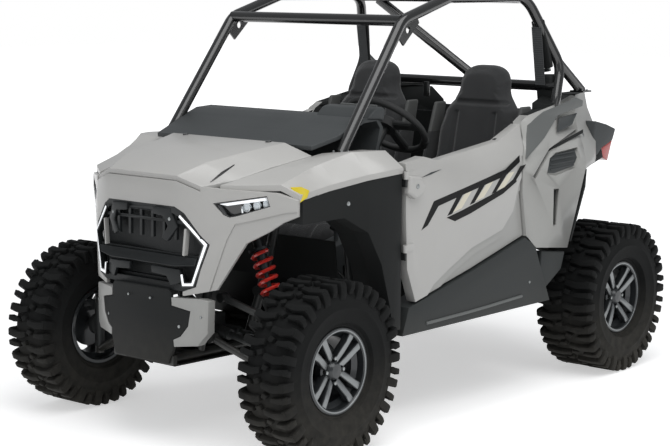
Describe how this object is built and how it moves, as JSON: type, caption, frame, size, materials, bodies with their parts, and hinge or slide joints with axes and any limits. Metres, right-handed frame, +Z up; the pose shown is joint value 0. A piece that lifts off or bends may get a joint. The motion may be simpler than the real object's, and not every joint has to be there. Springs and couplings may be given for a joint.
{
  "type": "two-seat side-by-side all-terrain vehicle",
  "caption": "Open two-seat side-by-side all-terrain vehicle with roll cage, half doors, steered front wheels, cargo bed and lugged tyres.",
  "frame": {"origin": "on the ground, in the middle of the overall length and width", "axes": "+X forward, +Y to the vehicle's left, +Z up"},
  "size_m": [2.7128, 1.524, 1.7223],
  "materials": {
    "frame_black": "black powder coat",
    "cage_black": "gloss black powder coat",
    "body_grey": "light warm grey, semi-gloss",
    "side_grey": "mid grey, satin",
    "trim_black": "black grained plastic",
    "dash_grey": "dark grey grained plastic",
    "tyre": "black rubber",
    "rim": "dark cast aluminium with bright machined faces",
    "seat_fabric": "black vinyl and mesh",
    "bolster_grey": "grey moulded plastic",
    "webbing": "black woven webbing",
    "lamp": "clear lens over dark reflector",
    "tail_lamp": "red lens",
    "spring_red": "red powder coat",
    "steel": "bare and plated steel",
    "engine": "cast aluminium",
    "arm_black": "black powder coat",
    "knuckle_iron": "dark cast iron"
  },
  "bodies": {
    "chassis": {"cage_crossbars": "cage_black", "cage_left": "cage_black", "cage_right": "cage_black", "cargo_bed": "trim_black", "centre_console": "trim_black", "chassis_frame": "frame_black", "cowl": "dash_grey", "engine_block": "engine", "exhaust": "steel", "floor_pan": "trim_black", "front_arms": "arm_black", "front_bumper": "trim_black", "front_drive": "arm_black", "front_fascia": "body_grey", "front_fenders": "body_grey", "front_flares": "trim_black", "front_lights": "lamp", "grille": "trim_black", "hood": "body_grey", "pedals": "frame_black", "rear_arms": "arm_black", "rear_bumper": "frame_black", "rear_drive": "arm_black", "rear_fascia": "trim_black", "rear_fenders": "body_grey", "rear_knuckles": "knuckle_iron", "rear_side_panels": "side_grey", "rocker_panels": "trim_black", "seat_backs": "seat_fabric", "seat_belts": "webbing", "seat_bolsters": "bolster_grey", "seat_cushions": "seat_fabric", "shock_absorbers": "steel", "skid_plate": "trim_black", "springs": "spring_red", "steering_column": "frame_black", "steering_rack": "engine", "tail_lamps": "tail_lamp"},
    "knuckle_left": {"knuckle_left": "knuckle_iron"},
    "knuckle_right": {"knuckle_right": "knuckle_iron"},
    "steering_link": {"tie_rods": "steel"},
    "steering_wheel": {"steering_wheel": "trim_black"},
    "door_left": {"door_left": "body_grey"},
    "door_right": {"door_right": "body_grey"},
    "wheel_front_left": {"rim_front_left": "rim", "tyre_front_left": "tyre"},
    "wheel_front_right": {"rim_front_right": "rim", "tyre_front_right": "tyre"},
    "wheel_rear_left": {"rim_rear_left": "rim", "tyre_rear_left": "tyre"},
    "wheel_rear_right": {"rim_rear_right": "rim", "tyre_rear_right": "tyre"}
  },
  "joints": [
    {"name": "steer_left", "type": "hinge", "parent": "chassis", "child": "knuckle_left", "pos_m": [1.0165, 0.5755, 0.34], "axis": [0, 0, 1], "range_deg": [-28, 28]},
    {"name": "steer_right", "type": "hinge", "parent": "chassis", "child": "knuckle_right", "pos_m": [1.0165, -0.5755, 0.34], "axis": [0, 0, 1], "range_deg": [-28, 28]},
    {"name": "steering_link_slide", "type": "slide", "parent": "chassis", "child": "steering_link", "axis": [0, 1, 0], "range_m": [-0.0401, 0.0401]},
    {"name": "steering_wheel_turn", "type": "hinge", "parent": "chassis", "child": "steering_wheel", "pos_m": [0.2438, 0.33, 1.18], "axis": [-0.6428, 0, 0.766], "range_deg": [-252, 252]},
    {"name": "door_left_hinge", "type": "hinge", "parent": "chassis", "child": "door_left", "pos_m": [0.59503, 0.7103, 0.85], "axis": [0, 0, -1], "range_deg": [0, 65]},
    {"name": "door_right_hinge", "type": "hinge", "parent": "chassis", "child": "door_right", "pos_m": [0.59503, -0.7103, 0.85], "axis": [0, 0, 1], "range_deg": [0, 65]},
    {"name": "wheel_front_left_spin", "type": "hinge", "parent": "knuckle_left", "child": "wheel_front_left", "pos_m": [1.0165, 0.6475, 0.34], "axis": [0, 1, 0], "continuous": true},
    {"name": "wheel_rear_left_spin", "type": "hinge", "parent": "chassis", "child": "wheel_rear_left", "pos_m": [-0.9905, 0.6225, 0.34], "axis": [0, 1, 0], "continuous": true},
    {"name": "wheel_front_right_spin", "type": "hinge", "parent": "knuckle_right", "child": "wheel_front_right", "pos_m": [1.0165, -0.6475, 0.34], "axis": [0, 1, 0], "continuous": true},
    {"name": "wheel_rear_right_spin", "type": "hinge", "parent": "chassis", "child": "wheel_rear_right", "pos_m": [-0.9905, -0.6225, 0.34], "axis": [0, 1, 0], "continuous": true}
  ],
  "couplings": [
    {"joint": "steer_right", "follows": "steer_left", "ratio": 1},
    {"joint": "steering_link_slide", "follows": "steer_left", "m_per_rad": -0.081657},
    {"joint": "steering_wheel_turn", "follows": "steer_left", "ratio": 9}
  ]
}
